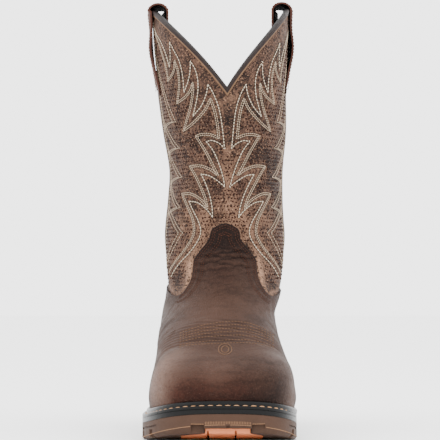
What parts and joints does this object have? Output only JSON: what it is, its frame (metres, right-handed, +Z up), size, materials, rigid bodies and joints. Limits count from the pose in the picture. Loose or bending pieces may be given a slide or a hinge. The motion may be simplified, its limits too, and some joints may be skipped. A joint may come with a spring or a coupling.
{
  "type": "western work boot",
  "caption": "Tall pull-on leather boot with a wide square toe, scalloped collar with pull straps, and a lugged rubber sole with a low heel.",
  "frame": {"origin": "on the floor, under the middle of the boot's bounding box", "axes": "+Z up the shaft, -Y towards the toe, +X towards the inner side of the right foot"},
  "size_m": [0.1217, 0.306, 0.3497],
  "materials": {
    "shaft_leather": "distressed, satin",
    "vamp_leather": "oiled, satin",
    "binding_leather": "satin",
    "strap_leather": "satin",
    "piping_leather": "satin",
    "midsole_rubber": "semi-gloss",
    "outsole_rubber": "matt",
    "tread_rubber": "matt",
    "footbed": "matt"
  },
  "bodies": {
    "root": {"upper": "shaft_leather", "vamp": "vamp_leather", "heel_counter": "vamp_leather", "collar_binding": "binding_leather", "pull_strap_inner": "strap_leather", "pull_strap_outer": "strap_leather", "side_piping_inner": "piping_leather", "side_piping_outer": "piping_leather", "welt": "midsole_rubber", "midsole": "midsole_rubber", "outsole": "outsole_rubber", "heel_base": "outsole_rubber", "heel_lift": "outsole_rubber", "forefoot_tread_insert": "tread_rubber", "heel_tread_insert": "tread_rubber", "insole": "footbed"}
  },
  "joints": []
}
